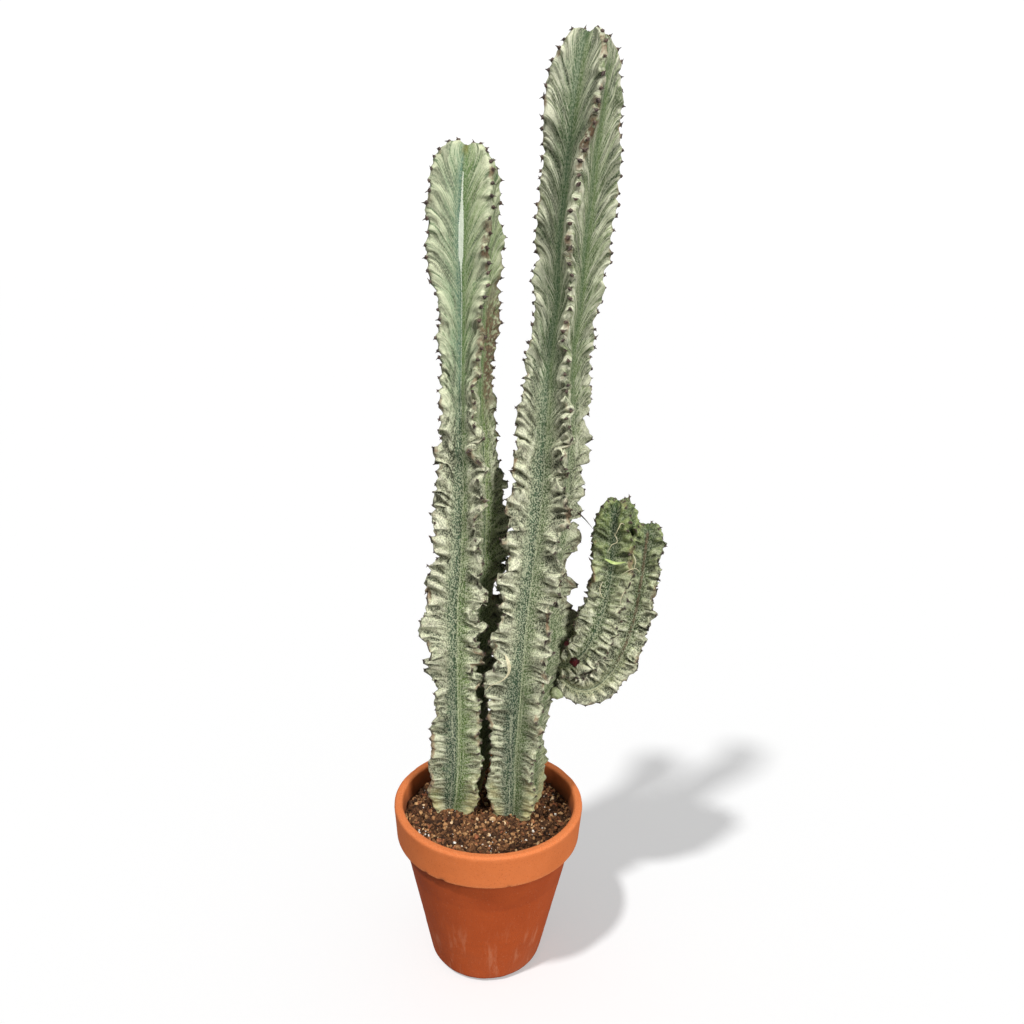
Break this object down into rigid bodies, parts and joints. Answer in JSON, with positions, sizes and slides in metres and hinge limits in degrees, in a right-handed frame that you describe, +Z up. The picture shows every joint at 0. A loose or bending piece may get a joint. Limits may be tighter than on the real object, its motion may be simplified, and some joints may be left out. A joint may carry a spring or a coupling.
{
  "type": "potted euphorbia",
  "caption": "Tall columnar euphorbia with ruffled, spiny ribbed stems and a forked side branch, growing in a plain round clay pot of soil.",
  "frame": {"origin": "on the ground, under the middle of the whole plant's outline seen from above", "axes": "+Z up along the stems, -Y to the front, +X to the side that the branch grows on"},
  "size_m": [0.2714, 0.2, 0.926],
  "materials": {
    "terracotta": "unglazed matt fired clay",
    "potting_soil": "crumbly, damp",
    "stem_skin": "waxy green and cream variegated skin",
    "branch_skin": "waxy young green skin",
    "fresh_leaf": "satin",
    "dried_leaf": "papery",
    "dried_sap": "dark resin, half gloss",
    "perlite": "matt, porous",
    "bark": "rough, dry"
  },
  "bodies": {
    "root": {"pot": "terracotta", "soil": "potting_soil", "left_stem": "stem_skin", "centre_stem": "stem_skin", "branch_stem": "branch_skin", "branch_leaf": "fresh_leaf", "dried_leaf_curl": "dried_leaf", "sap_bead_1": "dried_sap", "sap_bead_2": "dried_sap", "perlite_grain_1": "perlite", "perlite_grain_2": "perlite", "perlite_grain_3": "perlite", "perlite_grain_4": "perlite", "perlite_grain_5": "perlite", "perlite_grain_6": "perlite", "perlite_grain_7": "perlite", "perlite_grain_8": "perlite", "perlite_grain_9": "perlite", "perlite_grain_10": "perlite", "perlite_grain_11": "perlite", "perlite_grain_12": "perlite", "bark_chip_1": "bark", "bark_chip_2": "bark", "bark_chip_3": "bark", "bark_chip_4": "bark", "bark_chip_5": "bark", "bark_chip_6": "bark"}
  },
  "joints": []
}
